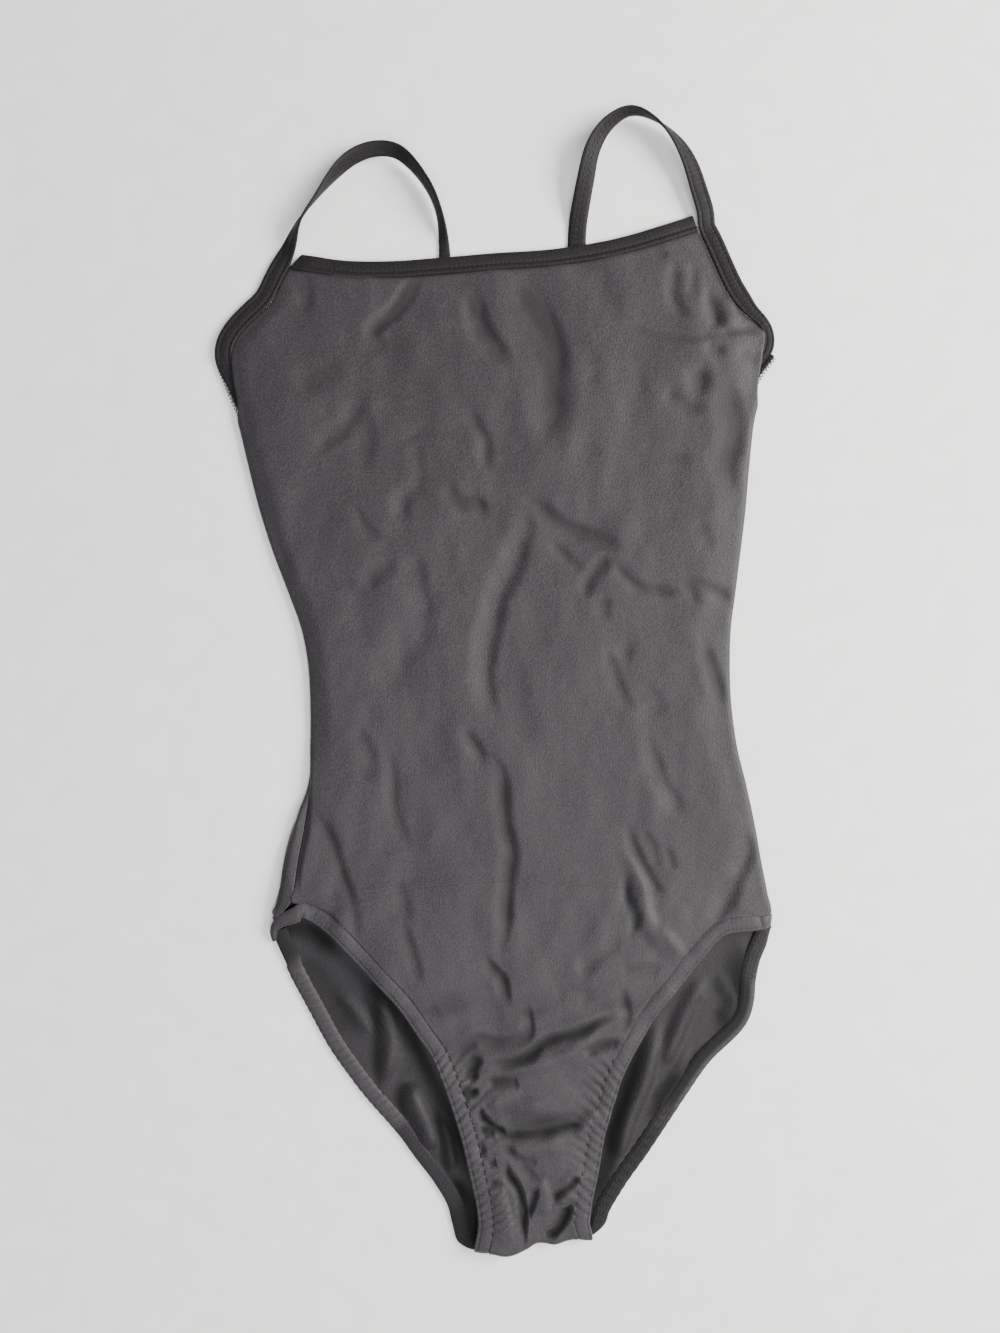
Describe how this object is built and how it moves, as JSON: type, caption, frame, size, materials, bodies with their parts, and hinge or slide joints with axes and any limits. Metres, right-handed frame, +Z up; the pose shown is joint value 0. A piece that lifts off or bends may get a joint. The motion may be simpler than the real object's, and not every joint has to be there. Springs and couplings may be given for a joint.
{
  "type": "camisole leotard",
  "caption": "Dark camisole leotard laid flat, front up: bound neckline and armholes, thin shoulder straps standing loose, low back scoop underneath, elastic leg hems.",
  "frame": {"origin": "centre of the garment's outline, on the surface it lies on", "axes": "+Z up from the surface, through the back and then the front; +Y from the crotch to the shoulder straps; +X to the wearer's left side, the viewer's right when the front is looked at from above"},
  "size_m": [0.3392, 0.6869, 0.0152],
  "materials": {
    "cloth": "matte satin stretch knit, charcoal",
    "binding": "folded knit over elastic, charcoal",
    "hem": "turned knit over elastic, charcoal, gathered near the crotch"
  },
  "bodies": {
    "root": {"front_panel": "cloth", "back_panel": "cloth", "neck_binding": "binding", "strap_left": "binding", "strap_right": "binding", "back_binding": "binding", "front_leg_hem_left": "hem", "front_leg_hem_right": "hem", "back_leg_hem_left": "hem", "back_leg_hem_right": "hem"}
  },
  "joints": []
}
